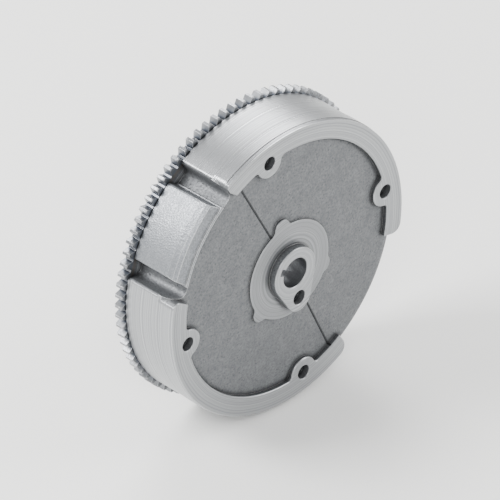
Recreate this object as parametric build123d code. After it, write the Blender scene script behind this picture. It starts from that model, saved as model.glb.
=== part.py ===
from build123d import *
import math
import os

# A cast-iron flywheel for a small single-cylinder engine, with a shrunk-on
# starter ring gear, one ignition magnet block let into the rim, and a ring of
# charging magnets inside the rear of the rim.
#
# Every piece is drawn with the crank axis along Z and the engine's outer end
# (the fan side) at high Z, and is then turned so that the crank axis lies along
# Y and the fan side looks towards -Y.  The origin is the centre of the fan's
# four-hole face.  Lengths are millimetres and angles are degrees, counted
# anticlockwise from +X as seen from the fan side.

# ---------------------------------------------------------------- wheel sizes
rim_radius = 106.4            # turned outside of the rim
rim_front_round = 11.0        # big round between the rim and the fan-side face
rim_inner_radius = 84.0       # inside of the rim, where the magnets sit
rim_back = -50.6              # back face of the rim
web_front_at_rim = -3.6       # the web's fan-side face, out by the rim
web_front_at_hub = 0.9        # the same face, in by the hub pad
web_back_at_rim = -13.0       # the web's engine-side face, out by the rim
web_back_at_hub = -11.0       # the same face, in by the hub
cavity_corner_round = 1.8     # inside corner between the web and the rim
edge_break = 0.5              # small turned and deburred chamfers
hole_break = 0.4              # countersink at the mouth of each drilled hole
cast_edge_round = 0.5         # edges left as cast

# ------------------------------------------------------------------ fan pads
pad_width = 14.15             # from the inside to the outside of the two raised pads
pad_stand_out = 0.4           # they stand a hair proud of the turned rim
pad_foot_below_round = 0.3    # the pads' outside wall ends just past the rim's round
pad_upper_arc = (-12.5, 119.6)
pad_lower_arc = (169.9, 302.0)
pad_end_lean = 3.0            # beside the magnet, the outer corner leans this far in
pad_corner_round = 7.0        # outer corners of each pad, seen from the front
pad_magnet_corner_round = 4.5 # the same, beside the magnet
pad_band_depth = 3.5          # finish-turned band round the upper pad
pad_band_step = 0.4
fan_hole_inset = 14.2         # from the pads' outside to the holes' middles
fan_hole_radius = 5.05
fan_hole_depth = 6.0
fan_hole_first_angle = 9.7
fan_hole_count = 4
fan_boss_radius = 10.9        # round boss under each fan hole
fan_boss_blend = 3.0          # small round where a boss meets its pad

# ----------------------------------------------------------------------- hub
hub_pad_radius = 36.2         # low three-eared pad under the hub
hub_pad_top = 2.4
hub_ear_reach = (43.0, 41.0, 39.5)
hub_ear_first_angle = 100.0
hub_ear_radius = 6.5
hub_ear_blend = 4.0
hub_front = 8.0               # the hub's machined fan-side face
hub_front_radius = 18.7
hub_tip_radius = 10.6         # round tip round the locating hole
locating_hole_offset = 21.8
locating_hole_angle = -80.3
locating_hole_radius = 5.3
locating_hole_depth = 6.0
hub_back = -28.0              # the hub's engine-side end
hub_back_radius = 23.0
hub_back_root_radius = 26.0
bore_front_radius = 10.8      # small end of the crank taper
bore_back_radius = 14.4       # large end of the crank taper
key_width = 5.0
key_depth = 3.8               # keyway floor outside the bore wall
key_angle = 154.5

# ----------------------------------------------------- casting witness marks
parting_line_angles = (116.0, -63.5)
parting_line_width = 0.9
parting_line_height = 0.35

# ------------------------------------------------------------- balance holes
balance_hole_radius = 4.5
balance_hole_depth = 7.0
balance_hole_angles = (-52.0, -38.0, -24.0)

# ----------------------------------------------------------------- ring gear
gear_teeth = 86
gear_module = 2.5
gear_tooth_depth = 5.1
gear_width = 6.8
gear_setback = 0.6            # from the rim's back face to the gear's
gear_seat_depth = 5.9         # from the tooth roots in to the shrink-fit seat
gear_tip_chamfer = 0.6
tooth_tip_half_angle = 0.5
tooth_root_half_angle = 1.7

# ---------------------------------------------------- ignition magnet recess
recess_start_angle = 121.2
recess_end_angle = 167.6
recess_depth_front = 13.9     # the floor slopes up a little to the back
recess_depth_back = 11.6
recess_corner_round = 4.8     # inside corners, at the floor
recess_edge_round = 2.2       # outside corners, at the rim

# ----------------------------------------------------- ignition magnet block
block_angle = 145.0
block_below_rim = 1.8         # leaves a small air gap under the ignition coil
block_base_half_width = 28.2
block_top_half_width = 27.6
block_corner_round = 2.0
block_top_setback = 9.5       # from the recess's front edge to the end of the curved top
block_brow_setback = 4.9      # the same, to the end of the shallow slope before the bevel
block_brow_drop = 0.9
block_nose_setback = 2.3      # the same, to the end of the front bevel
block_nose_drop = 2.5
block_foot_setback = 0.5
block_back_clearance = 0.4    # between the block and the ring gear
cover_wall = 1.8
foot_flange_width = 0.9
foot_flange_height = 1.6
magnet_width = 18.0
magnet_fit = 0.05             # space between the pieces inside the cover
screw_spread_angle = 10.5     # each side of the block's middle
screw_radius = 2.5
screw_head_radius = 4.2
screw_head_height = 2.8
screw_engagement = 5.0        # thread inside a pole piece
screw_clearance = 0.15
thread_fit = 0.05             # between a screw's thread and its tapped hole

# ----------------------------------------------------------- charging magnets
charging_magnet_count = 12
charging_magnet_thickness = 8.0
charging_magnet_front_space = 4.5   # from the web to the magnets
charging_magnet_back_space = 4.1    # from the rim's back face to the magnets
charging_magnet_gap = 3.0     # finger of the cage between two magnets
charging_magnet_edge = 0.8    # ground chamfer on the inside long edges
cage_ring_thickness = 2.0
cage_fit = 0.1                # between the cage and what it holds
cage_finger_recess = 1.2      # fingers stop short of the magnets' inside face

# -------------------------------------------------------------- retaining ring
retainer_thickness = 1.2
retainer_overlap = 6.5        # how far it reaches in over the magnets
retainer_land = 8.5           # how far it reaches out over the rim
retainer_fit = 0.15
retainer_screw_count = 6
retainer_screw_inset = 4.2    # from the rim's inside out to the screws
retainer_screw_first_angle = 15.0
retainer_screw_radius = 2.0
retainer_screw_length = 9.0
retainer_head_radius = 3.6
retainer_head_height = 2.0
retainer_socket_across_flats = 2.5
retainer_socket_depth = 1.1

# ------------------------------------------------------------- worked-out sizes
pad_outer_radius = rim_radius + pad_stand_out
pad_inner_radius = pad_outer_radius - pad_width
pad_foot = web_front_at_rim - rim_front_round - pad_foot_below_round
fan_hole_circle = 2 * (pad_outer_radius - fan_hole_inset)
round_centre_radius = rim_radius - rim_front_round

gear_pitch_radius = gear_module * gear_teeth / 2
gear_tip_radius = gear_pitch_radius + gear_module
gear_root_radius = gear_tip_radius - gear_tooth_depth
gear_seat_radius = gear_root_radius - gear_seat_depth
gear_back = rim_back + gear_setback
gear_front = gear_back + gear_width     # the shoulder that the gear is pressed against

recess_floor_front = rim_radius - recess_depth_front
recess_floor_back = rim_radius - recess_depth_back
block_top_radius = rim_radius - block_below_rim
block_back = gear_front + block_back_clearance
screw_z = (gear_front + web_front_at_rim) / 2

charging_magnet_inner_radius = rim_inner_radius - charging_magnet_thickness
charging_magnet_front = web_back_at_rim - charging_magnet_front_space
charging_magnet_back = rim_back + charging_magnet_back_space
retainer_seat = charging_magnet_back
retainer_back = retainer_seat - retainer_thickness
retainer_inner_radius = rim_inner_radius - retainer_overlap
retainer_outer_radius = rim_inner_radius + retainer_land
retainer_screw_circle_radius = rim_inner_radius + retainer_screw_inset
OVER = 1.0                    # how far a cutter runs past the face it opens


def polar(radius, angle):
    """A point in the wheel's plane."""
    return (radius * math.cos(math.radians(angle)), radius * math.sin(math.radians(angle)))


def ring(outer, inner, low, high):
    """A plain ring about the crank axis."""
    with BuildPart() as made:
        with BuildSketch(Plane.XY.offset(low)):
            Circle(outer)
            Circle(inner, mode=Mode.SUBTRACT)
        extrude(amount=high - low)
    return made.part


def turned(*profile):
    """A solid of revolution about the crank axis from (radius, z) corners."""
    with BuildPart() as made:
        with BuildSketch(Plane.XZ):
            with BuildLine():
                Polyline(*profile, close=True)
            make_face()
        revolve(axis=Axis.Z)
    return made.part


def cylinder_at(radius, offset, angle, low, high):
    """A cylinder parallel to the crank axis."""
    x, y = polar(offset, angle)
    with BuildPart() as made:
        with BuildSketch(Plane.XY.offset(low)):
            with Locations((x, y)):
                Circle(radius)
        extrude(amount=high - low)
    return made.part


def arc_sector_face(inner, outer, start, end, outer_start=None, outer_end=None):
    """A flat ring sector; its ends lean if the outer arc has its own angles."""
    middle = (start + end) / 2
    outer_start = start if outer_start is None else outer_start
    outer_end = end if outer_end is None else outer_end
    with BuildSketch() as drawn:
        with BuildLine():
            ThreePointArc(polar(inner, start), polar(inner, middle), polar(inner, end))
            Line(polar(inner, end), polar(outer, outer_end))
            ThreePointArc(polar(outer, outer_end), polar(outer, middle), polar(outer, outer_start))
            Line(polar(outer, outer_start), polar(inner, start))
        make_face()
    return drawn.sketch


def raised(face, low, high):
    """A flat face drawn at z = 0, extruded from low to high."""
    return extrude(Pos(0, 0, low) * face, amount=high - low)


def break_top_edges(solid, size):
    """Chamfer the outline of a solid's top face."""
    return chamfer(solid.edges().group_by(Axis.Z)[-1], size)


def drilled(radius, offset, angle, bottom, mouth):
    """A drilled hole with a countersunk mouth that opens towards high Z, as a cutter."""
    x, y = polar(offset, angle)
    profile = turned(
        (0, bottom),
        (radius, bottom),
        (radius, mouth - hole_break),
        (radius + hole_break + OVER, mouth + OVER),
        (0, mouth + OVER),
    )
    return Pos(x, y, 0) * profile


def web_front(radius):
    """Height of the web's slightly coned fan-side face at a radius."""
    slope = (web_front_at_rim - web_front_at_hub) / (pad_inner_radius - hub_pad_radius)
    return web_front_at_hub + slope * max(radius - hub_pad_radius, 0)


# -------------------------------------------------------------------- casting
def wheel_blank():
    """The turned casting: web, rim and hub as one revolved section."""
    face_edge = web_front(round_centre_radius)
    round_start = face_edge - rim_front_round
    round_middle_z = round_start + rim_front_round * math.sin(math.radians(45))
    round_middle_r = round_centre_radius + rim_front_round * math.cos(math.radians(45))
    with BuildPart() as made:
        with BuildSketch(Plane.XZ):
            with BuildLine():
                Polyline(
                    (0, web_front(0)),
                    (hub_pad_radius, web_front(hub_pad_radius)),
                    (round_centre_radius, face_edge),
                )
                ThreePointArc(
                    (round_centre_radius, face_edge),
                    (round_middle_r, round_middle_z),
                    (rim_radius, round_start),
                )
                Polyline(
                    (rim_radius, round_start),
                    (rim_radius, gear_front + edge_break),
                    (rim_radius - edge_break, gear_front),
                    (gear_seat_radius, gear_front),
                    (gear_seat_radius, rim_back + edge_break),
                    (gear_seat_radius - edge_break, rim_back),
                    (retainer_outer_radius + retainer_fit, rim_back),
                    (retainer_outer_radius + retainer_fit, retainer_seat),
                    (rim_inner_radius, retainer_seat),
                    (rim_inner_radius, web_back_at_rim),
                    (hub_back_root_radius, web_back_at_hub),
                    (hub_back_radius, hub_back + edge_break),
                    (hub_back_radius - edge_break, hub_back),
                    (0, hub_back),
                    (0, web_front(0)),
                )
            make_face()
        revolve(axis=Axis.Z)
        inside_corner = [
            e for e in made.edges().filter_by(GeomType.CIRCLE)
            if abs(e.radius - rim_inner_radius) < 0.01 and abs(e.arc_center.Z - web_back_at_rim) < 0.01
        ]
        fillet(inside_corner, cavity_corner_round)
    return made.part


def fan_pads():
    """The two raised pads that the cooling fan bolts to, with a boss under each hole."""
    pads = []
    leans = ((0, pad_end_lean), (-pad_end_lean, 0))
    for (start, end), (start_lean, end_lean) in zip((pad_upper_arc, pad_lower_arc), leans):
        outer_start, outer_end = start + start_lean, end + end_lean
        face = arc_sector_face(pad_inner_radius, pad_outer_radius, start, end, outer_start, outer_end)
        for angle, lean in ((outer_start, start_lean), (outer_end, end_lean)):
            corner = face.vertices().sort_by_distance((*polar(pad_outer_radius, angle), 0))[0]
            face = fillet(corner, pad_magnet_corner_round if lean else pad_corner_round)
        for step in range(fan_hole_count):
            angle = fan_hole_first_angle + step * 360 / fan_hole_count
            if start < angle < end:
                x, y = polar(fan_hole_circle / 2, angle)
                face = face + Pos(x, y) * Circle(fan_boss_radius)
        blends = [
            v for v in face.vertices()
            if abs(math.hypot(v.X, v.Y) - pad_inner_radius) < 0.01
            and min(abs(math.degrees(math.atan2(v.Y, v.X)) % 360 - a % 360) for a in (start, end)) > 0.5
        ]
        face = fillet(blends, fan_boss_blend)
        pads.append(break_top_edges(raised(face, pad_foot, 0), edge_break))
    upper, lower = pads
    band = ring(pad_outer_radius + OVER, pad_outer_radius - pad_band_step, -pad_band_depth, OVER)
    return (upper - band) + lower


def hub_pad():
    """The low pad round the hub, with three ears for a wheel puller."""
    face = Sketch() + Circle(hub_pad_radius)
    for step, reach in enumerate(hub_ear_reach):
        x, y = polar(reach - hub_ear_radius, hub_ear_first_angle + step * 360 / len(hub_ear_reach))
        face = face + Pos(x, y) * Circle(hub_ear_radius)
    face = fillet(face.vertices(), hub_ear_blend)
    pad = raised(face, web_back_at_hub / 2, hub_pad_top)
    return fillet(pad.edges().group_by(Axis.Z)[-1], cast_edge_round)


def hub_boss():
    """The pear-shaped boss: a round hub drawn out round the locating hole."""
    x, y = polar(locating_hole_offset, locating_hole_angle)
    face = make_hull(
        (Sketch() + Circle(hub_front_radius) + Pos(x, y) * Circle(hub_tip_radius)).edges()
    )
    return break_top_edges(raised(face, web_back_at_hub / 2, hub_front), edge_break)


def crank_bore():
    """The crank taper with its keyway, as a cutter."""
    low = hub_back
    high = hub_front
    slope = (bore_back_radius - bore_front_radius) / (high - low)
    front_radius = bore_front_radius - slope * OVER
    back_radius = bore_back_radius + slope * OVER
    taper = turned(
        (0, low - OVER),
        (bore_back_radius + edge_break + OVER, low - OVER),
        (bore_back_radius - slope * edge_break, low + edge_break),
        (bore_front_radius + slope * edge_break, high - edge_break),
        (bore_front_radius + edge_break + OVER, high + OVER),
        (0, high + OVER),
    )
    with BuildPart() as keyway:
        with BuildSketch(Plane.XZ):
            with BuildLine():
                Polyline(
                    (0, low - OVER),
                    (back_radius + key_depth, low - OVER),
                    (front_radius + key_depth, high + OVER),
                    (0, high + OVER),
                    close=True,
                )
            make_face()
        extrude(amount=key_width / 2, both=True)
    return taper + Rot(0, 0, key_angle) * keyway.part


def recess_floor_at(z):
    """Distance of the recess's sloping floor from the crank axis."""
    slope = (recess_floor_front - recess_floor_back) / (web_front_at_rim - gear_front)
    return recess_floor_back + slope * (z - gear_front)


def recess_floor_solid(lift=0.0):
    """Everything inside the recess's floor, with the floor raised by a lift."""
    low = gear_front - OVER
    high = hub_front + OVER
    return turned(
        (0, low), (recess_floor_at(low) + lift, low), (recess_floor_at(high) + lift, high), (0, high)
    )


def recess_cutter():
    """The pocket across the rim that holds the ignition magnet block."""
    wedge = raised(
        arc_sector_face(rim_inner_radius, pad_outer_radius + OVER, recess_start_angle, recess_end_angle),
        gear_front,
        hub_front,
    )
    cutter = wedge - recess_floor_solid()
    corners = []
    for edge in cutter.edges():
        middle = edge.position_at(0.5)
        radius = math.hypot(middle.X, middle.Y)
        along = abs(edge.position_at(0).Z - edge.position_at(1).Z)
        if along > (web_front_at_rim - gear_front) / 2 and radius < recess_floor_back + OVER:
            corners.append(edge)
    return fillet(corners, recess_corner_round)


def rim_corner_cutter(angle, side):
    """
    What rounds the rim's outside corner at one end of the recess.  The metal
    lies on the given side: -1 towards smaller angles, +1 towards larger.
    """
    centre_radius = rim_radius - recess_edge_round
    turn = side * math.degrees(math.asin(recess_edge_round / centre_radius))
    wall_radius = math.sqrt(centre_radius**2 - recess_edge_round**2)
    past_wall = angle - side * math.degrees(OVER / rim_radius)
    centre = Vector(*polar(centre_radius, angle + turn))
    on_wall = Vector(*polar(wall_radius, angle))
    on_rim = Vector(*polar(rim_radius, angle + turn))
    towards_corner = (Vector(*polar(rim_radius, angle)) - centre).normalized()
    with BuildSketch() as drawn:
        with BuildLine():
            Polyline(
                on_wall,
                polar(wall_radius, past_wall),
                polar(rim_radius + OVER, past_wall),
                polar(rim_radius + OVER, angle + turn),
                on_rim,
            )
            ThreePointArc(on_rim, centre + towards_corner * recess_edge_round, on_wall)
        make_face()
    return raised(drawn.sketch, gear_front - OVER, pad_foot)


def radial_cylinder(radius, inner, outer, angle, z):
    """A cylinder along a spoke, from an inner to an outer distance."""
    spoke = Plane(origin=(0, 0, z), x_dir=(0, 0, 1), z_dir=(*polar(1, angle), 0))
    with BuildPart() as made:
        with BuildSketch(spoke.offset(inner)):
            Circle(radius)
        extrude(amount=outer - inner)
    return made.part


def screw_angles():
    return (block_angle - screw_spread_angle, block_angle + screw_spread_angle)


def flywheel_body():
    body = wheel_blank() + fan_pads() + hub_pad() + hub_boss()

    for angle in parting_line_angles:
        ridge_start = hub_pad_radius - OVER
        ridge_end = pad_inner_radius + OVER
        with BuildPart() as ridge:
            with BuildSketch(Plane.XZ):
                with BuildLine():
                    Polyline(
                        (ridge_start, web_front(ridge_start) - OVER),
                        (ridge_end, web_front(ridge_end) - OVER),
                        (ridge_end, web_front(ridge_end) + parting_line_height),
                        (ridge_start, web_front(ridge_start) + parting_line_height),
                        close=True,
                    )
                make_face()
            extrude(amount=parting_line_width / 2, both=True)
        body = body + Rot(0, 0, angle) * ridge.part

    body = body - recess_cutter()
    body = body - rim_corner_cutter(recess_start_angle, -1) - rim_corner_cutter(recess_end_angle, 1)
    body = body - crank_bore()
    body = body - drilled(
        locating_hole_radius, locating_hole_offset, locating_hole_angle,
        hub_front - locating_hole_depth, hub_front,
    )
    for step in range(fan_hole_count):
        angle = fan_hole_first_angle + step * 360 / fan_hole_count
        body = body - drilled(fan_hole_radius, fan_hole_circle / 2, angle, -fan_hole_depth, 0)
    for angle in balance_hole_angles:
        # drilled in the web's back face, clear of the charging magnets
        body = body - cylinder_at(
            balance_hole_radius, charging_magnet_inner_radius - 2 * balance_hole_radius, angle,
            web_back_at_rim - OVER, web_back_at_rim + balance_hole_depth,
        )
    for angle in screw_angles():
        body = body - radial_cylinder(
            screw_radius + screw_clearance, rim_inner_radius - OVER, rim_radius, angle, screw_z
        )
        body = body - radial_cylinder(
            screw_head_radius + screw_clearance, rim_inner_radius - OVER,
            rim_inner_radius + screw_head_height + screw_clearance, angle, screw_z,
        )
    for angle in retainer_screw_angles():
        body = body - cylinder_at(
            retainer_screw_radius + thread_fit, retainer_screw_circle_radius, angle,
            retainer_seat - OVER, retainer_back + retainer_screw_length + OVER,
        )
    return body


# ------------------------------------------------------------------ ring gear
def ring_gear():
    outline = []
    for tooth in range(gear_teeth):
        middle = tooth * 360 / gear_teeth
        pitch_half_angle = 360 / gear_teeth / 4
        outline.append(polar(gear_root_radius, middle - tooth_root_half_angle))
        outline.append(polar(gear_pitch_radius, middle - pitch_half_angle))
        outline.append(polar(gear_tip_radius, middle - tooth_tip_half_angle))
        outline.append(polar(gear_tip_radius, middle + tooth_tip_half_angle))
        outline.append(polar(gear_pitch_radius, middle + pitch_half_angle))
        outline.append(polar(gear_root_radius, middle + tooth_root_half_angle))
    with BuildPart() as made:
        with BuildSketch(Plane.XY.offset(gear_back)):
            with BuildLine():
                Polyline(*outline, close=True)
            make_face()
            Circle(gear_seat_radius, mode=Mode.SUBTRACT)
        extrude(amount=gear_width)
    envelope = turned(
        (0, gear_back),
        (gear_tip_radius - gear_tip_chamfer, gear_back),
        (gear_tip_radius, gear_back + gear_tip_chamfer),
        (gear_tip_radius, gear_front - gear_tip_chamfer),
        (gear_tip_radius - gear_tip_chamfer, gear_front),
        (0, gear_front),
    )
    return made.part & envelope


# ------------------------------------------------------ ignition magnet block
def block_form(inset=0.0, corner_round=0.0, spread=0.0):
    """
    The magnet block's form, drawn along +X: straight sides with a little draft,
    and a curved top that slopes off a little before the bevelled nose.  An inset
    gives the hollow inside it, and a spread widens the foot on every side.
    """
    top = block_top_radius - inset
    brow = top - block_brow_drop
    nose = top - block_nose_drop
    foot = web_front_at_rim - block_foot_setback - inset + spread
    nose_end = web_front_at_rim - block_nose_setback - inset + spread
    brow_end = web_front_at_rim - block_brow_setback - inset + spread
    top_end = web_front_at_rim - block_top_setback - inset + spread
    base_half = block_base_half_width - inset + spread
    top_half = block_top_half_width - inset + spread
    base = math.sqrt(recess_floor_front**2 - base_half**2) - OVER
    brow_slope = (brow_end - top_end) / block_brow_drop
    side = turned(
        (base, block_back + inset),
        (top + OVER, block_back + inset),
        (top + OVER, top_end - brow_slope * OVER),
        (brow, brow_end),
        (nose, nose_end),
        (recess_floor_front, foot),
        (base, foot),
    )
    shoulder = math.sqrt(top**2 - top_half**2)
    with BuildSketch() as section:
        with BuildLine():
            Polyline((shoulder, top_half), (base, base_half), (base, -base_half), (shoulder, -top_half))
            ThreePointArc((shoulder, -top_half), (top, 0), (shoulder, top_half))
        make_face()
        if corner_round > 0:
            fillet([v for v in section.vertices() if v.X > shoulder - 0.01], corner_round)
    form = side & raised(section.sketch, gear_front, hub_front)
    return form - recess_floor_solid()


def slab(low, high):
    """A flat slab across the block, from one sideways distance to another."""
    with BuildPart() as made:
        with BuildSketch(Plane.XZ.offset(-high)):
            with Locations((block_top_radius, (gear_front + hub_front) / 2)):
                Rectangle(block_top_radius, 2 * (hub_front - gear_front))
        extrude(amount=high - low)
    return made.part


def magnet_cover():
    cover = block_form(corner_round=block_corner_round)
    foot = block_form(spread=foot_flange_width) & recess_floor_solid(foot_flange_height)
    return Rot(0, 0, block_angle) * ((cover + foot) - block_form(inset=cover_wall))


def ignition_magnet():
    inside = block_form(inset=cover_wall + magnet_fit)
    return Rot(0, 0, block_angle) * (inside & slab(-magnet_width / 2, magnet_width / 2))


def pole_piece(side):
    """One soft-iron pole piece, on one side of the magnet, with its tapped hole."""
    inside = block_form(inset=cover_wall + magnet_fit)
    near = magnet_width / 2 + magnet_fit
    far = block_base_half_width
    piece = inside & (slab(near, far) if side > 0 else slab(-far, -near))
    piece = Rot(0, 0, block_angle) * piece
    floor = recess_floor_at(screw_z)
    return piece - radial_cylinder(
        screw_radius + thread_fit, floor - 2 * OVER, floor + screw_engagement + OVER,
        block_angle + side * screw_spread_angle, screw_z,
    )


def magnet_screws():
    """Two socket screws that hold the pole pieces from inside the rim."""
    seat = rim_inner_radius + screw_head_height + screw_clearance
    end = recess_floor_at(screw_z) + screw_engagement
    screws = []
    for angle in screw_angles():
        screw = radial_cylinder(screw_head_radius, seat - screw_head_height, seat, angle, screw_z)
        screw = screw + radial_cylinder(screw_radius, seat, end, angle, screw_z)
        socket = radial_cylinder(
            screw_head_radius / 2, rim_inner_radius - OVER, seat - screw_head_height / 2, angle, screw_z
        )
        screws.append(screw - socket)
    return Compound(children=screws)


# ----------------------------------------------------------- charging magnets
def magnet_half_angle():
    middle_radius = rim_inner_radius - charging_magnet_thickness / 2
    return 180 / charging_magnet_count - math.degrees(charging_magnet_gap / 2 / middle_radius)


def charging_magnet(number):
    middle = number * 360 / charging_magnet_count
    half = magnet_half_angle()
    face = arc_sector_face(charging_magnet_inner_radius, rim_inner_radius, middle - half, middle + half)
    middle_radius = rim_inner_radius - charging_magnet_thickness / 2
    inner_corners = [v for v in face.vertices() if math.hypot(v.X, v.Y) < middle_radius]
    face = chamfer(inner_corners, charging_magnet_edge)
    return raised(face, charging_magnet_back, charging_magnet_front)


def magnet_cage():
    """A moulded ring in front of the magnets, with a finger between each two."""
    outer = rim_inner_radius - cage_fit
    inner = charging_magnet_inner_radius + cage_finger_recess
    cage = ring(outer, inner, charging_magnet_back, charging_magnet_front + cage_ring_thickness)
    half = magnet_half_angle() + math.degrees(cage_fit / charging_magnet_inner_radius)
    for number in range(charging_magnet_count):
        middle = number * 360 / charging_magnet_count
        window = arc_sector_face(inner - OVER, outer + OVER, middle - half, middle + half)
        cage = cage - raised(window, charging_magnet_back - OVER, charging_magnet_front)
    return cage


# -------------------------------------------------------------- retaining ring
def retainer_screw_angles():
    return [
        retainer_screw_first_angle + step * 360 / retainer_screw_count
        for step in range(retainer_screw_count)
    ]


def retaining_ring():
    plate = ring(retainer_outer_radius, retainer_inner_radius, retainer_back, retainer_seat)
    for angle in retainer_screw_angles():
        plate = plate - cylinder_at(
            retainer_screw_radius + retainer_fit, retainer_screw_circle_radius, angle,
            retainer_back - OVER, retainer_seat + OVER,
        )
    return plate


def retaining_screws():
    """Button-head screws that hold the retaining ring to the rim."""
    head_low = retainer_back - retainer_head_height
    screws = []
    for angle in retainer_screw_angles():
        x, y = polar(retainer_screw_circle_radius, angle)
        with BuildPart() as screw:
            with BuildSketch(Plane.XY.offset(head_low)):
                Circle(retainer_head_radius)
            extrude(amount=retainer_head_height)
            rim_edge = screw.edges().group_by(Axis.Z)[0]
            fillet(rim_edge, retainer_head_height / 2)
            with BuildSketch(Plane.XY.offset(retainer_back)):
                Circle(retainer_screw_radius)
            extrude(amount=retainer_screw_length)
            with BuildSketch(Plane.XY.offset(head_low)):
                RegularPolygon(retainer_socket_across_flats / 2, 6, major_radius=False)
            extrude(amount=retainer_socket_depth, mode=Mode.SUBTRACT)
        screws.append(Pos(x, y, 0) * screw.part)
    return Compound(children=screws)


# ---------------------------------------------------------------- the assembly
pieces = {
    "flywheel_body": flywheel_body(),
    "ring_gear": ring_gear(),
    "magnet_cover": magnet_cover(),
    "ignition_magnet": ignition_magnet(),
    "pole_piece_leading": pole_piece(-1),
    "pole_piece_trailing": pole_piece(1),
    "magnet_screws": magnet_screws(),
    "magnet_cage": magnet_cage(),
    "retaining_ring": retaining_ring(),
    "retaining_screws": retaining_screws(),
}
for number in range(charging_magnet_count):
    pieces[f"charging_magnet_{number + 1:02d}"] = charging_magnet(number)

# turn the crank axis from Z to Y, with the fan side towards -Y
stand_up = Rot(90, 0, 0)
os.makedirs("parts", exist_ok=True)
for node, shape in pieces.items():
    export_step(stand_up * shape, f"parts/{node}.step")
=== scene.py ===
import math

import bpy
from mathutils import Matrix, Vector


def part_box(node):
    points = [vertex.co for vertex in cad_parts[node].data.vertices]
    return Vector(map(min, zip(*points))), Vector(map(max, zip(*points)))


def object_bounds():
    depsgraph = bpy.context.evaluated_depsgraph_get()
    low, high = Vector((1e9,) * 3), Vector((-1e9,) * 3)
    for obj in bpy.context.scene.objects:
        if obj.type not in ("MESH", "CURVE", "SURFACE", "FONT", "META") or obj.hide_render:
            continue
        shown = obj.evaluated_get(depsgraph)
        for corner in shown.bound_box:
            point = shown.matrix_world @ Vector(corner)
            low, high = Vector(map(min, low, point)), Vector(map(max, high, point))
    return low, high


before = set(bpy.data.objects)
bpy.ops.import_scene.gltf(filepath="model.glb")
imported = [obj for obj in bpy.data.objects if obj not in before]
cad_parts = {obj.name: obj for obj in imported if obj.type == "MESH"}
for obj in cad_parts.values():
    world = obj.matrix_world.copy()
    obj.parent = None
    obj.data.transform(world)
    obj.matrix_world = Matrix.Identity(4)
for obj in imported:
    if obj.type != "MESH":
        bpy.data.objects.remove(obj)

bl_info = {
    "name": "Engine Flywheel",
    "version": (1, 0, 0),
    "blender": (4, 5, 0),
    "location": "3D View > Sidebar > Flywheel",
    "description": "Finishes a packed engine flywheel in its real metals and lights it on a plain floor",
    "category": "Object",
}

# The crank axis lies along Y with the fan side towards -Y, and +Z is up.
MM = 0.001
PER_MM = 1000.0
CHARGING_MAGNETS = sorted(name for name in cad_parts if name.startswith("charging_magnet_"))
BODY_LOW, BODY_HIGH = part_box("flywheel_body")
GEAR_LOW, GEAR_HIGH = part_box("ring_gear")
_, MAGNET_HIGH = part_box(CHARGING_MAGNETS[0])
WHEEL_LOW, WHEEL_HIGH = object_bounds()

# Places on the wheel in millimetres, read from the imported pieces.  The
# casting is widest at the fan pads, which stand a little proud of the rim.
CASTING_RADIUS = BODY_HIGH.x * PER_MM
HUB_FACE = BODY_LOW.y * PER_MM
GEAR_SHOULDER = GEAR_LOW.y * PER_MM
GEAR_TIP_RADIUS = GEAR_HIGH.x * PER_MM
RIM_INSIDE = MAGNET_HIGH.x * PER_MM

# Places that no piece's box gives, also in millimetres.
FAN_PAD_FACE = 0.0              # the pads' machined face
FAN_PAD_REACH_IN = 80.0         # just inside the round bosses of the fan holes
PULLER_PAD_FACE = -2.4          # the three-eared pad round the hub
PULLER_PAD_REACH = 46.0         # just outside the pad's ears
BORE_REACH = 18.6               # just inside the rim of the hub's face
WEB_MIDDLE = 6.0                # between the web's two faces
WEB_BACK = 13.2                 # just behind the web, out by the rim
PAST_THE_BACK = 80.0            # clear of everything on the engine side
PAST_THE_RIM = CASTING_RADIUS + 3
GEAR_TOOTH_DEPTH = 5.1
GEAR_FEED_PITCH = 0.9
PARTING_ANGLES = (116.0, -63.5)
PARTING_HALF_WIDTH = 0.75
PARTING_START = 34.0            # under the puller pad's edge, so that no gap shows


# ------------------------------------------------------------------ user's settings
class FlywheelCastingSettings(bpy.types.PropertyGroup):
    skin_colour: bpy.props.StringProperty(
        name="Cast skin", description="sRGB hex colour of the sand-cast iron skin", default="#7f8183"
    )
    skin_shadow_colour: bpy.props.StringProperty(
        name="Cast skin, dark", description="sRGB hex colour of its darker patches", default="#6a6c6f"
    )
    turned_colour: bpy.props.StringProperty(
        name="Turned iron", description="sRGB hex colour of the machined faces", default="#aeb0b2"
    )
    grain_size: bpy.props.FloatProperty(
        name="Sand grain", description="Size of the sand's print in the skin",
        default=1.5 * MM, unit="LENGTH",
    )
    feed_pitch: bpy.props.FloatProperty(
        name="Feed pitch", description="Spacing of the turning marks", default=1.5 * MM, unit="LENGTH"
    )


class FlywheelGearSettings(bpy.types.PropertyGroup):
    steel_colour: bpy.props.StringProperty(
        name="Gear steel", description="sRGB hex colour of the hardened gear", default="#8f9194"
    )
    temper_colour: bpy.props.StringProperty(
        name="Temper straw", description="sRGB hex colour of the heat tint below the teeth",
        default="#8a7862",
    )
    temper_width: bpy.props.FloatProperty(
        name="Temper width", description="Width of the heat-tinted band", default=2.4 * MM, unit="LENGTH"
    )


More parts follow.
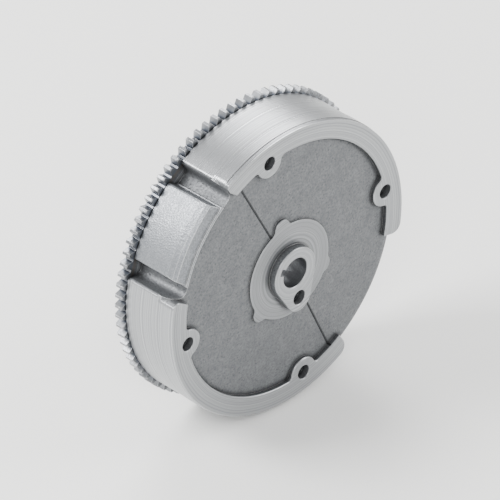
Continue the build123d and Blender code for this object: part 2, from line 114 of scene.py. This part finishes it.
class FlywheelMagnetSettings(bpy.types.PropertyGroup):
    cover_colour: bpy.props.StringProperty(
        name="Cover", description="sRGB hex colour of the die-cast magnet cover", default="#9a9da1"
    )
    ferrite_colour: bpy.props.StringProperty(
        name="Ferrite", description="sRGB hex colour of the charging magnets", default="#3a3a3d"
    )
    nylon_colour: bpy.props.StringProperty(
        name="Cage", description="sRGB hex colour of the moulded magnet cage", default="#1b1b1c"
    )
    stainless_colour: bpy.props.StringProperty(
        name="Retaining ring", description="sRGB hex colour of the stainless ring", default="#c4c5c6"
    )
    zinc_colour: bpy.props.StringProperty(
        name="Screws", description="sRGB hex colour of the zinc-plated screws", default="#c9cccf"
    )


class FlywheelStageSettings(bpy.types.PropertyGroup):
    floor_colour: bpy.props.StringProperty(
        name="Floor", description="sRGB hex colour of the floor", default="#f7f7f5"
    )
    floor_size: bpy.props.FloatProperty(
        name="Floor size", description="Side of the square floor", default=12.0, min=1.0, unit="LENGTH"
    )
    view_azimuth: bpy.props.FloatProperty(
        name="Azimuth", description="Camera direction round the wheel",
        default=math.radians(-45.0), subtype="ANGLE",
    )
    view_elevation: bpy.props.FloatProperty(
        name="Elevation", description="Camera height, the isometric angle",
        default=math.atan(math.sqrt(0.5)), subtype="ANGLE",
    )
    frame_width: bpy.props.FloatProperty(
        name="Frame width", description="Width of the view at the wheel",
        default=0.3274, min=0.05, unit="LENGTH",
    )
    wheel_right: bpy.props.FloatProperty(
        name="Wheel right", description="How far the fan-side centre lies right of the view's centre",
        default=0.0242, unit="LENGTH",
    )
    wheel_below: bpy.props.FloatProperty(
        name="Wheel below", description="How far the fan-side centre lies below the view's centre",
        default=0.0118, unit="LENGTH",
    )
    sky_strength: bpy.props.FloatProperty(
        name="Sky", description="Strength of the even light from all round", default=0.7, min=0.0
    )


# ------------------------------------------------------------------------- colours
def linear(hex_colour):
    """An sRGB hex colour as linear RGBA."""
    channels = [int(hex_colour[start:start + 2], 16) / 255 for start in (1, 3, 5)]
    straight = [c / 12.92 if c <= 0.04045 else ((c + 0.055) / 1.055) ** 2.4 for c in channels]
    return (*straight, 1.0)


# --------------------------------------------------------------------------- nodes
def add_node(tree, kind, inputs=None, **settings):
    """Adds a node, sets its properties, and fills or links each named or numbered input."""
    made = tree.nodes.new(kind)
    for name, value in settings.items():
        setattr(made, name, value)
    for name, value in (inputs or {}).items():
        if isinstance(value, bpy.types.NodeSocket):
            tree.links.new(value, made.inputs[name])
        else:
            made.inputs[name].default_value = value
    return made


def start_material(name):
    """A material with an empty node tree."""
    made = bpy.data.materials.new(name)
    made.use_nodes = True
    made.node_tree.nodes.clear()
    return made, made.node_tree


def close_material(tree, shader):
    add_node(tree, "ShaderNodeOutputMaterial", {"Surface": shader.outputs["BSDF"]})


def wheel_place(tree):
    """A point in millimetres, its distance from the crank axis, and its place along it."""
    here = add_node(tree, "ShaderNodeTexCoord").outputs["Object"]
    point = add_node(tree, "ShaderNodeVectorMath", {0: here, "Scale": PER_MM}, operation="SCALE").outputs[0]
    split = add_node(tree, "ShaderNodeSeparateXYZ", {0: point})
    spoke = add_node(tree, "ShaderNodeCombineXYZ", {"X": split.outputs["X"], "Z": split.outputs["Z"]})
    radius = add_node(tree, "ShaderNodeVectorMath", {0: spoke.outputs[0]}, operation="LENGTH")
    return point, radius.outputs["Value"], split.outputs["Y"]


def between(tree, value, low, high):
    """1 where a value lies between two limits, and 0 elsewhere."""
    return add_node(
        tree, "ShaderNodeMath", {0: value, 1: (low + high) / 2, 2: (high - low) / 2}, operation="COMPARE"
    ).outputs[0]


def combined(tree, operation, *values):
    """Several values joined two at a time by one sum, difference, product or maximum."""
    result = values[0]
    for value in values[1:]:
        result = add_node(tree, "ShaderNodeMath", {0: result, 1: value}, operation=operation).outputs[0]
    return result


def ramped(tree, value, low, high, start, end):
    """A value's stretch from low to high, mapped to start and end and held there."""
    return add_node(
        tree,
        "ShaderNodeMapRange",
        {"Value": value, "From Min": low, "From Max": high, "To Min": start, "To Max": end},
    ).outputs["Result"]


def blended(tree, factor, first, second, blend_type="MIX"):
    """Two colours mixed by a factor."""
    return add_node(
        tree,
        "ShaderNodeMix",
        {0: factor, 6: first, 7: second},
        data_type="RGBA",
        blend_type=blend_type,
    ).outputs[2]


def chosen(tree, factor, first, second):
    """Two numbers mixed by a factor."""
    return add_node(
        tree, "ShaderNodeMix", {0: factor, 2: first, 3: second}, data_type="FLOAT"
    ).outputs[0]


def noise(tree, place, scale, detail, **inputs):
    """Soft random patches between 0 and 1; a larger scale makes them smaller."""
    return add_node(
        tree, "ShaderNodeTexNoise", {"Vector": place, "Scale": scale, "Detail": detail, **inputs}
    ).outputs["Fac"]


def cells(tree, place, scale):
    """How far each point lies from the nearest of many scattered points."""
    return add_node(
        tree, "ShaderNodeTexVoronoi", {"Vector": place, "Scale": scale, "Randomness": 1.0}
    ).outputs["Distance"]


# ----------------------------------------------------------------- shared patterns
def turning_marks(tree, point, radius, along, pitch):
    """
    The tool's spiral on a turned face: rings on a flat face, hoops on a
    cylinder, each a little brighter or darker than the next.  It returns
    streaks from 0 to 1 and the height of the marks.  The real feed is near
    0.2 mm and is drawn coarser so that it shows.
    """
    wander = noise(tree, point, 0.05, 2.0)
    travel = combined(tree, "ADD", radius, along, wander)
    streaks = add_node(
        tree, "ShaderNodeTexNoise", {"W": travel, "Scale": 1 / pitch, "Detail": 4.0, "Roughness": 0.75},
        noise_dimensions="1D",
    ).outputs["Fac"]
    turns = combined(tree, "MULTIPLY", travel, 2 * math.pi / pitch)
    ridges = add_node(tree, "ShaderNodeMath", {0: turns}, operation="SINE").outputs[0]
    height = add_node(
        tree, "ShaderNodeMath", {0: ridges, 1: 0.25, 2: streaks}, operation="MULTIPLY_ADD"
    ).outputs[0]
    return streaks, height


def rounded_normal(tree, radius_mm):
    """The surface direction with each sharp edge eased, as deburring leaves it."""
    return add_node(tree, "ShaderNodeBevel", {"Radius": radius_mm * MM}, samples=6).outputs["Normal"]


def edge_wear_and_highlight(tree, eased, sharpest=0.9):
    """
    0 on a flat face, rising to 1 on an edge.  It stands both for edges that handling
    has polished and for a painted highlight along them.  A sharpest value nearer 1
    lets a shallow edge show too.
    """
    true_normal = add_node(tree, "ShaderNodeNewGeometry").outputs["True Normal"]
    match = add_node(
        tree, "ShaderNodeVectorMath", {0: eased, 1: true_normal}, operation="DOT_PRODUCT"
    ).outputs["Value"]
    return ramped(tree, match, 0.998, sharpest, 0.0, 1.0)


def crease_shade(tree, reach_mm, darkest):
    """1 on open faces, falling towards a darker value in corners: painted shade, from ambient occlusion
    baked into the colour.
    """
    open_sky = add_node(
        tree, "ShaderNodeAmbientOcclusion", {"Distance": reach_mm * MM}, samples=8
    ).outputs["AO"]
    return ramped(tree, open_sky, 0.35, 0.95, darkest, 1.0)


def parting_line(tree, point, angle):
    """1 along one spoke of the web, where the two halves of the mould met."""
    along_spoke = (math.cos(math.radians(angle)), 0.0, math.sin(math.radians(angle)))
    across_spoke = (-along_spoke[2], 0.0, along_spoke[0])
    out, across = (
        add_node(tree, "ShaderNodeVectorMath", {0: point, 1: axis}, operation="DOT_PRODUCT").outputs["Value"]
        for axis in (along_spoke, across_spoke)
    )
    return combined(
        tree, "MULTIPLY",
        between(tree, across, -PARTING_HALF_WIDTH, PARTING_HALF_WIDTH),
        between(tree, out, PARTING_START, CASTING_RADIUS),
    )


def machined_places(tree, radius, along):
    """
    Masks of the casting's machined places: all of them together, then the
    bore and the puller pad alone.  Each takes in the eased edge of its face.
    """
    pad_faces = combined(
        tree, "MULTIPLY",
        between(tree, along, FAN_PAD_FACE - 0.2, FAN_PAD_FACE + 0.55),
        between(tree, radius, FAN_PAD_REACH_IN, PAST_THE_RIM),
    )
    hub_face = between(tree, along, HUB_FACE - 0.3, HUB_FACE + 0.55)
    puller_pad = combined(
        tree, "MULTIPLY",
        between(tree, along, PULLER_PAD_FACE - 0.3, PULLER_PAD_FACE + 0.35),
        between(tree, radius, 0, PULLER_PAD_REACH),
    )
    rim_outside = between(tree, radius, CASTING_RADIUS - 0.7, PAST_THE_RIM)
    bore = combined(
        tree, "MULTIPLY",
        between(tree, radius, 0, BORE_REACH), between(tree, along, HUB_FACE + 0.6, PAST_THE_BACK),
    )
    back_faces = between(tree, along, GEAR_SHOULDER - 0.2, PAST_THE_BACK)
    rim_inside = combined(
        tree, "MULTIPLY",
        between(tree, radius, RIM_INSIDE - 0.2, RIM_INSIDE + 0.2),
        between(tree, along, WEB_BACK, PAST_THE_BACK),
    )
    machined = combined(
        tree, "MAXIMUM", pad_faces, hub_face, puller_pad, rim_outside, bore, back_faces, rim_inside
    )
    return machined, bore, puller_pad


# ----------------------------------------------------------------------- materials
def sand_cast_and_turned_iron(settings):
    """
    Grey cast iron.  The web and bosses keep their sand-cast skin, which is dull
    and pebbly, with a dark line where the mould's halves met.  The rim, fan
    pads, puller pad, hub face, bore and back were turned or milled, which
    leaves them brighter, smoother and ringed by the tool.  Oil darkens the bore
    well and the puller pad a little.
    """
    material, tree = start_material("sand_cast_and_turned_grey_iron")
    point, radius, along = wheel_place(tree)
    grain = settings.grain_size * PER_MM
    machined, bore, puller_pad = machined_places(tree, radius, along)

    patches = noise(tree, point, 0.11, 5.0, Roughness=0.65)
    sand = noise(tree, point, 1 / grain, 3.0, Roughness=0.6)
    pit_depth = ramped(tree, cells(tree, point, 0.55 / grain), 0.05, 0.3, 0.0, 1.0)
    streaks, marks = turning_marks(tree, point, radius, along, settings.feed_pitch * PER_MM)

    skin = blended(
        tree, ramped(tree, patches, 0.38, 0.66, 0.0, 0.6),
        linear(settings.skin_colour), linear(settings.skin_shadow_colour),
    )
    skin = blended(tree, ramped(tree, sand, 0.35, 0.65, 0.55, 0.0), skin, linear("#606265"))
    skin = blended(tree, ramped(tree, pit_depth, 0.0, 1.0, 0.6, 0.0), skin, linear("#4b4c4f"))
    spokes = combined(tree, "MAXIMUM", *(parting_line(tree, point, angle) for angle in PARTING_ANGLES))
    parting = combined(tree, "MULTIPLY", spokes, between(tree, along, HUB_FACE, WEB_MIDDLE))
    skin = blended(tree, combined(tree, "MULTIPLY", parting, 0.8), skin, linear("#2c2d2f"))
    bright = blended(
        tree, ramped(tree, streaks, 0.32, 0.68, 0.0, 0.9),
        linear(settings.turned_colour), linear("#85878a"),
    )
    oiled = combined(
        tree, "MAXIMUM",
        combined(tree, "MULTIPLY", bore, 0.8), combined(tree, "MULTIPLY", puller_pad, 0.3),
    )
    bright = blended(tree, oiled, bright, linear("#4f5154"))
    eased = rounded_normal(tree, 0.5)
    # Edges lightened in the colour: partly polish from wear, partly a painted highlight.
    polish_and_highlight = edge_wear_and_highlight(tree, eased)
    rubbed_and_highlit = add_node(
        tree, "ShaderNodeMath", {0: polish_and_highlight, 1: parting}, operation="SUBTRACT", use_clamp=True
    ).outputs[0]
    colour = blended(tree, machined, skin, bright)
    colour = blended(tree, combined(tree, "MULTIPLY", rubbed_and_highlit, 0.7), colour, linear("#dcddde"))
    # Painted shade: the colour is darkened in corners and recesses by ambient occlusion.
    shade_in_corners = crease_shade(tree, 4.0, 0.15)
    colour = blended(tree, 1.0, colour, shade_in_corners, "MULTIPLY")

    cast_roughness = ramped(tree, sand, 0.3, 0.7, 0.66, 0.5)
    turned_roughness = ramped(tree, streaks, 0.3, 0.7, 0.27, 0.44)
    roughness = chosen(tree, machined, cast_roughness, turned_roughness)

    skin_height = combined(tree, "MULTIPLY", sand, pit_depth)
    faint_marks = combined(tree, "MULTIPLY", marks, 0.3)
    height = chosen(tree, machined, skin_height, faint_marks)
    relief = add_node(
        tree, "ShaderNodeBump", {"Height": height, "Normal": eased, "Strength": 0.7, "Distance": 0.45 * MM}
    )
    shader = add_node(
        tree, "ShaderNodeBsdfPrincipled",
        {"Base Color": colour, "Metallic": 0.85, "Roughness": roughness, "Normal": relief.outputs["Normal"]},
    )
    close_material(tree, shader)
    return material


def hobbed_and_hardened_steel(settings):
    """
    Medium-carbon steel, turned, hobbed and induction hardened.  It is darker
    than the casting's turned faces and slightly oily, with a straw and blue
    heat tint round the roots of the teeth, fine turning marks and scratches,
    and bright edges, partly from wear and partly a painted highlight.  Its
    corners carry painted shade.
    """
    material, tree = start_material("hobbed_induction_hardened_steel")
    point, radius, along = wheel_place(tree)
    root = GEAR_TIP_RADIUS - GEAR_TOOTH_DEPTH
    tint_width = settings.temper_width * PER_MM
    wander = noise(tree, point, 0.15, 2.0)
    place = combined(tree, "ADD", radius, ramped(tree, wander, 0.3, 0.7, -0.6, 0.6))
    offset = combined(tree, "SUBTRACT", place, root - tint_width)
    away = add_node(tree, "ShaderNodeMath", {0: offset}, operation="ABSOLUTE").outputs[0]
    straw = ramped(tree, away, 0.0, tint_width, 0.45, 0.0)
    blue_edge = ramped(tree, place, root - 0.8, root + 0.8, 0.0, 0.45)
    blue_end = ramped(tree, place, root + 0.8, root + 2.6, 1.0, 0.0)
    blue = combined(tree, "MULTIPLY", blue_edge, blue_end)

    streaks, marks = turning_marks(tree, point, radius, along, GEAR_FEED_PITCH)
    scratches = noise(tree, point, 1.4, 5.0, Roughness=0.7)
    eased = rounded_normal(tree, 0.35)
    polish_and_highlight = edge_wear_and_highlight(tree, eased)
    colour = blended(
        tree, ramped(tree, scratches, 0.35, 0.65, 0.0, 0.6),
        linear(settings.steel_colour), linear("#6f7175"),
    )
    colour = blended(tree, straw, colour, linear(settings.temper_colour))
    colour = blended(tree, blue, colour, linear("#5d6a80"))
    # Edges lightened: partly wear, partly a painted highlight.
    colour = blended(tree, combined(tree, "MULTIPLY", polish_and_highlight, 0.75), colour, linear("#cfd1d3"))
    # Painted shade: the colour is darkened in corners by ambient occlusion.
    colour = blended(tree, 1.0, colour, crease_shade(tree, 3.0, 0.3), "MULTIPLY")
    marks_and_scratches = combined(tree, "ADD", marks, scratches)
    relief = add_node(
        tree, "ShaderNodeBump",
        {"Height": marks_and_scratches, "Normal": eased, "Strength": 0.3, "Distance": 0.08 * MM},
    )
    shader = add_node(
        tree, "ShaderNodeBsdfPrincipled",
        {
            "Base Color": colour, "Metallic": 0.95, "Roughness": ramped(tree, streaks, 0.3, 0.7, 0.28, 0.46),
            "Coat Weight": 0.15, "Coat Roughness": 0.2, "Normal": relief.outputs["Normal"],
        },
    )
    close_material(tree, shader)
    return material


def shot_blasted_aluminium(settings):
    """
    Die-cast aluminium, shot-blasted.  The blast leaves an even sparkle of small
    dimples over pale metal, with faint cold-flow patches from the die.
    """
    material, tree = start_material("shot_blasted_die_cast_aluminium")
    point, _, _ = wheel_place(tree)
    dimples = cells(tree, point, 0.9)
    speckle = noise(tree, point, 0.8, 3.0, Roughness=0.7)
    flow = noise(tree, point, 0.09, 3.0, Distortion=1.2)
    eased = rounded_normal(tree, 0.7)
    polish_and_highlight = edge_wear_and_highlight(tree, eased, 0.985)
    colour = blended(
        tree, ramped(tree, flow, 0.35, 0.65, 0.0, 0.6), linear(settings.cover_colour), linear("#888b90")
    )
    colour = blended(tree, ramped(tree, speckle, 0.4, 0.62, 0.55, 0.0), colour, linear("#6d7074"))
    # Edges lightened, even shallow ones: partly wear, partly a painted highlight.
    colour = blended(tree, combined(tree, "MULTIPLY", polish_and_highlight, 0.7), colour, linear("#e8e9ea"))
    # Painted shade: the colour is darkened in corners by ambient occlusion.
    colour = blended(tree, 1.0, colour, crease_shade(tree, 3.0, 0.15), "MULTIPLY")
    relief = add_node(
        tree, "ShaderNodeBump", {"Height": dimples, "Normal": eased, "Strength": 0.5, "Distance": 0.25 * MM}
    )
    shader = add_node(
        tree, "ShaderNodeBsdfPrincipled",
        {
            "Base Color": colour, "Metallic": 0.9, "Roughness": ramped(tree, speckle, 0.3, 0.7, 0.55, 0.4),
            "Normal": relief.outputs["Normal"],
        },
    )
    close_material(tree, shader)
    return material


def ground_ferrite(settings):
    """
    Hard ferrite, pressed, sintered and ground.  It is a dark, dull ceramic with
    fine grinding scratches along the magnet and paler edges, partly chips and
    partly a painted highlight.
    """
    material, tree = start_material("ground_sintered_ferrite")
    point, _, along = wheel_place(tree)
    stretched = add_node(tree, "ShaderNodeMapping", {"Vector": point, "Scale": (2.2, 0.12, 2.2)}).outputs[0]
    scratches = noise(tree, stretched, 1.0, 4.0, Roughness=0.7)
    grains = cells(tree, point, 1.1)
    eased = rounded_normal(tree, 0.4)
    polish_and_highlight = edge_wear_and_highlight(tree, eased)
    # Paler edges: chips broken up by cells, on the painted edge highlight.
    chips_and_highlight = combined(tree, "MULTIPLY", polish_and_highlight, ramped(tree, grains, 0.2, 0.5, 0.2, 0.9))
    colour = blended(
        tree, ramped(tree, scratches, 0.35, 0.65, 0.0, 1.0),
        linear(settings.ferrite_colour), linear("#2c2c2f"),
    )
    colour = blended(tree, chips_and_highlight, colour, linear("#6e6e72"))
    relief = add_node(
        tree, "ShaderNodeBump",
        {"Height": scratches, "Normal": eased, "Strength": 0.25, "Distance": 0.08 * MM},
    )
    shader = add_node(
        tree, "ShaderNodeBsdfPrincipled",
        {
            "Base Color": colour, "Metallic": 0.0, "IOR": 1.9,
            "Roughness": ramped(tree, scratches, 0.3, 0.7, 0.42, 0.6), "Normal": relief.outputs["Normal"],
        },
    )
    close_material(tree, shader)
    return material


def moulded_glass_filled_nylon(settings):
    """
    Glass-filled nylon, injection moulded.  Nearly black, with a soft sheen and
    the faint pale flecks of glass fibre that float to the skin.
    """
    material, tree = start_material("moulded_glass_filled_nylon")
    point, _, _ = wheel_place(tree)
    flow = add_node(tree, "ShaderNodeMapping", {"Vector": point, "Scale": (1.5, 0.25, 1.5)}).outputs[0]
    fibres = noise(tree, flow, 1.6, 4.0, Roughness=0.75)
    colour = blended(
        tree, ramped(tree, fibres, 0.55, 0.75, 0.0, 0.5), linear(settings.nylon_colour), linear("#4a4a4c")
    )
    relief = add_node(tree, "ShaderNodeBump", {"Height": fibres, "Strength": 0.2, "Distance": 0.05 * MM})
    shader = add_node(
        tree, "ShaderNodeBsdfPrincipled",
        {
            "Base Color": colour, "IOR": 1.53, "Roughness": ramped(tree, fibres, 0.3, 0.7, 0.38, 0.55),
            "Normal": relief.outputs["Normal"],
        },
    )
    close_material(tree, shader)
    return material


def rolled_stainless_sheet(settings):
    """
    Stainless strip, rolled and blanked.  Bright, with the mill's fine straight
    grain running one way across the whole ring.
    """
    material, tree = start_material("rolled_blanked_stainless_sheet")
    point, _, _ = wheel_place(tree)
    rolled = add_node(tree, "ShaderNodeMapping", {"Vector": point, "Scale": (0.03, 1.0, 2.6)}).outputs[0]
    grain = noise(tree, rolled, 1.0, 5.0, Roughness=0.75)
    smears = noise(tree, point, 0.07, 3.0)
    eased = rounded_normal(tree, 0.25)
    colour = blended(
        tree, ramped(tree, grain, 0.35, 0.65, 0.0, 0.8),
        linear(settings.stainless_colour), linear("#a3a5a7"),
    )
    roughness = combined(
        tree, "ADD", ramped(tree, grain, 0.3, 0.7, 0.2, 0.3), ramped(tree, smears, 0.4, 0.7, 0.0, 0.12)
    )
    relief = add_node(
        tree, "ShaderNodeBump", {"Height": grain, "Normal": eased, "Strength": 0.2, "Distance": 0.04 * MM}
    )
    shader = add_node(
        tree, "ShaderNodeBsdfPrincipled",
        {"Base Color": colour, "Metallic": 1.0, "Roughness": roughness, "Normal": relief.outputs["Normal"]},
    )
    close_material(tree, shader)
    return material


def zinc_plated_steel(settings):
    """
    Steel screws in bright zinc.  Pale, cool metal with a thin yellow and blue
    passivation haze and a fine spangle.
    """
    material, tree = start_material("bright_zinc_plated_steel")
    point, _, _ = wheel_place(tree)
    haze = noise(tree, point, 0.5, 2.0)
    spangle = noise(tree, point, 3.0, 3.0)
    eased = rounded_normal(tree, 0.2)
    colour = blended(
        tree, ramped(tree, haze, 0.35, 0.65, 0.0, 1.0), linear("#c3c8d2"), linear("#d3cfb9")
    )
    colour = blended(tree, ramped(tree, spangle, 0.4, 0.6, 0.0, 0.6), colour, linear(settings.zinc_colour))
    # Painted shade: the colour is darkened in corners by ambient occlusion.
    colour = blended(tree, 1.0, colour, crease_shade(tree, 1.5, 0.3), "MULTIPLY")
    relief = add_node(
        tree, "ShaderNodeBump", {"Height": spangle, "Normal": eased, "Strength": 0.15, "Distance": 0.04 * MM}
    )
    shader = add_node(
        tree, "ShaderNodeBsdfPrincipled",
        {
            "Base Color": colour, "Metallic": 1.0, "Roughness": ramped(tree, spangle, 0.3, 0.7, 0.24, 0.36),
            "Normal": relief.outputs["Normal"],
        },
    )
    close_material(tree, shader)
    return material


def pressed_soft_iron(_settings):
    """
    Soft iron, cold pressed and left plain.  Mid-grey metal with the press's
    dull burnish, browned in patches by a film of rust preventive.
    """
    material, tree = start_material("cold_pressed_soft_iron")
    point, _, _ = wheel_place(tree)
    burnish = noise(tree, point, 0.4, 4.0)
    colour = blended(
        tree, ramped(tree, burnish, 0.35, 0.65, 0.0, 1.0), linear("#85878a"), linear("#6a6660")
    )
    shader = add_node(
        tree, "ShaderNodeBsdfPrincipled",
        {"Base Color": colour, "Metallic": 1.0, "Roughness": ramped(tree, burnish, 0.3, 0.7, 0.35, 0.55)},
    )
    close_material(tree, shader)
    return material


def black_oxide_steel(_settings):
    """
    Alloy-steel socket screws, hot blacked.  A thin matt-black oxide over metal,
    showing bare steel where a key or a washer has touched; every edge is lightened,
    partly as wear and partly as a painted highlight.
    """
    material, tree = start_material("black_oxide_alloy_steel")
    point, _, _ = wheel_place(tree)
    film = noise(tree, point, 1.2, 4.0)
    eased = rounded_normal(tree, 0.25)
    polish_and_highlight = edge_wear_and_highlight(tree, eased)
    colour = blended(tree, ramped(tree, film, 0.35, 0.65, 0.0, 1.0), linear("#242428"), linear("#34343a"))
    # Edges lightened: partly wear to bare steel, partly a painted highlight.
    colour = blended(tree, combined(tree, "MULTIPLY", polish_and_highlight, 0.6), colour, linear("#8e8f92"))
    shader = add_node(
        tree, "ShaderNodeBsdfPrincipled",
        {
            "Base Color": colour, "Metallic": 0.8, "Roughness": ramped(tree, film, 0.3, 0.7, 0.4, 0.55),
            "Normal": eased,
        },
    )
    close_material(tree, shader)
    return material


def studio_paper(settings):
    """Matt seamless paper: an even pale sheet with a barely visible tooth."""
    material, tree = start_material("matt_seamless_paper")
    here = add_node(tree, "ShaderNodeTexCoord").outputs["Object"]
    tooth = noise(tree, here, 900.0, 3.0)
    colour = blended(
        tree, ramped(tree, tooth, 0.3, 0.7, 0.0, 0.25), linear(settings.floor_colour), linear("#e6e6e4")
    )
    shader = add_node(tree, "ShaderNodeBsdfPrincipled", {"Base Color": colour, "Roughness": 0.9})
    close_material(tree, shader)
    return material


def clothe(names, material):
    """Gives every named piece one material on all of its faces."""
    for name in names:
        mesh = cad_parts[name].data
        mesh.materials.clear()
        mesh.materials.append(material)


# ----------------------------------------------------------------------- operators
class FLYWHEEL_OT_finish_casting(bpy.types.Operator):
    """Finish the wheel in cast and turned iron"""

    bl_idname = "flywheel.finish_casting"
    bl_label = "Finish Casting"

    def execute(self, context):
        clothe(["flywheel_body"], sand_cast_and_turned_iron(context.scene.flywheel_casting))
        return {"FINISHED"}


class FLYWHEEL_OT_finish_ring_gear(bpy.types.Operator):
    """Finish the starter ring gear in hardened steel"""

    bl_idname = "flywheel.finish_ring_gear"
    bl_label = "Finish Ring Gear"

    def execute(self, context):
        clothe(["ring_gear"], hobbed_and_hardened_steel(context.scene.flywheel_gear))
        return {"FINISHED"}


class FLYWHEEL_OT_finish_magnet_block(bpy.types.Operator):
    """Finish the ignition magnet's cover and what it hides"""

    bl_idname = "flywheel.finish_magnet_block"
    bl_label = "Finish Magnet Block"

    def execute(self, context):
        settings = context.scene.flywheel_magnets
        clothe(["magnet_cover"], shot_blasted_aluminium(settings))
        clothe(["pole_piece_leading", "pole_piece_trailing"], pressed_soft_iron(settings))
        clothe(["magnet_screws"], black_oxide_steel(settings))
        return {"FINISHED"}


class FLYWHEEL_OT_finish_charging_magnets(bpy.types.Operator):
    """Finish every ferrite magnet and the cage that spaces them"""

    bl_idname = "flywheel.finish_charging_magnets"
    bl_label = "Finish Charging Magnets"

    def execute(self, context):
        settings = context.scene.flywheel_magnets
        clothe([*CHARGING_MAGNETS, "ignition_magnet"], ground_ferrite(settings))
        clothe(["magnet_cage"], moulded_glass_filled_nylon(settings))
        return {"FINISHED"}


class FLYWHEEL_OT_finish_retainer(bpy.types.Operator):
    """Finish the retaining ring and its screws"""

    bl_idname = "flywheel.finish_retainer"
    bl_label = "Finish Retainer"

    def execute(self, context):
        settings = context.scene.flywheel_magnets
        clothe(["retaining_ring"], rolled_stainless_sheet(settings))
        clothe(["retaining_screws"], zinc_plated_steel(settings))
        return {"FINISHED"}


# Each soft box's place and size in metres and its power in watts.
SOFT_BOXES = {
    "soft_box_left_back": ((-0.9, 0.7, 1.0), 0.7, 36.0),
    "soft_box_left_front": ((-1.0, -0.9, 0.9), 0.6, 17.0),
    "soft_box_right_front": ((1.1, -0.9, 0.7), 0.9, 14.0),
    "soft_box_right_back": ((0.8, 1.1, 0.9), 0.8, 28.0),
}


def soft_box(name, place, size, power):
    """A square area light aimed at the wheel."""
    data = bpy.data.lights.new(name, "AREA")
    data.shape = "SQUARE"
    data.size = size
    data.energy = power
    lamp = bpy.data.objects.new(name, data)
    lamp.location = place
    lamp.rotation_euler = (-Vector(place)).to_track_quat("-Z", "Y").to_euler()
    bpy.context.scene.collection.objects.link(lamp)


class FLYWHEEL_OT_set_stage(bpy.types.Operator):
    """Lay the floor, hang the lights and place the camera"""

    bl_idname = "flywheel.set_stage"
    bl_label = "Set Stage"

    def execute(self, context):
        settings = context.scene.flywheel_stage
        half = settings.floor_size / 2
        level = WHEEL_LOW.z
        sheet = bpy.data.meshes.new("studio_floor")
        corners = [(-half, -half, level), (half, -half, level), (half, half, level), (-half, half, level)]
        sheet.from_pydata(corners, [], [(0, 1, 2, 3)])
        sheet.materials.append(studio_paper(settings))
        floor = bpy.data.objects.new("studio_floor", sheet)
        context.scene.collection.objects.link(floor)

        for name, (place, size, power) in SOFT_BOXES.items():
            soft_box(name, place, size, power)

        sky = bpy.data.worlds.new("studio_sky")
        sky.use_nodes = True
        background = sky.node_tree.nodes["Background"]
        background.inputs["Color"].default_value = (1.0, 1.0, 1.0, 1.0)
        background.inputs["Strength"].default_value = settings.sky_strength
        context.scene.world = sky

        azimuth, elevation = settings.view_azimuth, settings.view_elevation
        back = Vector((
            math.sin(azimuth) * math.cos(elevation),
            -math.cos(azimuth) * math.cos(elevation),
            math.sin(elevation),
        ))
        turn = back.to_track_quat("Z", "Y")
        right, up = turn @ Vector((1, 0, 0)), turn @ Vector((0, 1, 0))
        lens = bpy.data.cameras.new("isometric_camera")
        lens.type = "ORTHO"
        lens.ortho_scale = settings.frame_width
        camera = bpy.data.objects.new("isometric_camera", lens)
        camera.rotation_mode = "QUATERNION"
        camera.rotation_quaternion = turn
        camera.location = back - right * settings.wheel_right + up * settings.wheel_below
        context.scene.collection.objects.link(camera)
        context.scene.camera = camera
        return {"FINISHED"}


class FLYWHEEL_PT_sidebar(bpy.types.Panel):
    """Every step of the flywheel, in order"""

    bl_label = "Flywheel"
    bl_idname = "FLYWHEEL_PT_sidebar"
    bl_space_type = "VIEW_3D"
    bl_region_type = "UI"
    bl_category = "Flywheel"

    def draw(self, context):
        for step in STEPS:
            self.layout.operator(step.bl_idname)
        for group_name in SETTINGS:
            group = getattr(context.scene, group_name)
            column = self.layout.column()
            for field in group.__annotations__:
                column.prop(group, field)


STEPS = (
    FLYWHEEL_OT_set_stage,
    FLYWHEEL_OT_finish_casting,
    FLYWHEEL_OT_finish_ring_gear,
    FLYWHEEL_OT_finish_magnet_block,
    FLYWHEEL_OT_finish_charging_magnets,
    FLYWHEEL_OT_finish_retainer,
)
SETTINGS = {
    "flywheel_casting": FlywheelCastingSettings,
    "flywheel_gear": FlywheelGearSettings,
    "flywheel_magnets": FlywheelMagnetSettings,
    "flywheel_stage": FlywheelStageSettings,
}
CLASSES = (*SETTINGS.values(), *STEPS, FLYWHEEL_PT_sidebar)


def register():
    for item in CLASSES:
        bpy.utils.register_class(item)
    for name, group in SETTINGS.items():
        setattr(bpy.types.Scene, name, bpy.props.PointerProperty(type=group))


def unregister():
    for name in SETTINGS:
        delattr(bpy.types.Scene, name)
    for item in reversed(CLASSES):
        bpy.utils.unregister_class(item)


def main():
    register()
    bpy.ops.flywheel.set_stage()
    bpy.ops.flywheel.finish_casting()
    bpy.ops.flywheel.finish_ring_gear()
    bpy.ops.flywheel.finish_magnet_block()
    bpy.ops.flywheel.finish_charging_magnets()
    bpy.ops.flywheel.finish_retainer()


if __name__ == "__main__":
    main()
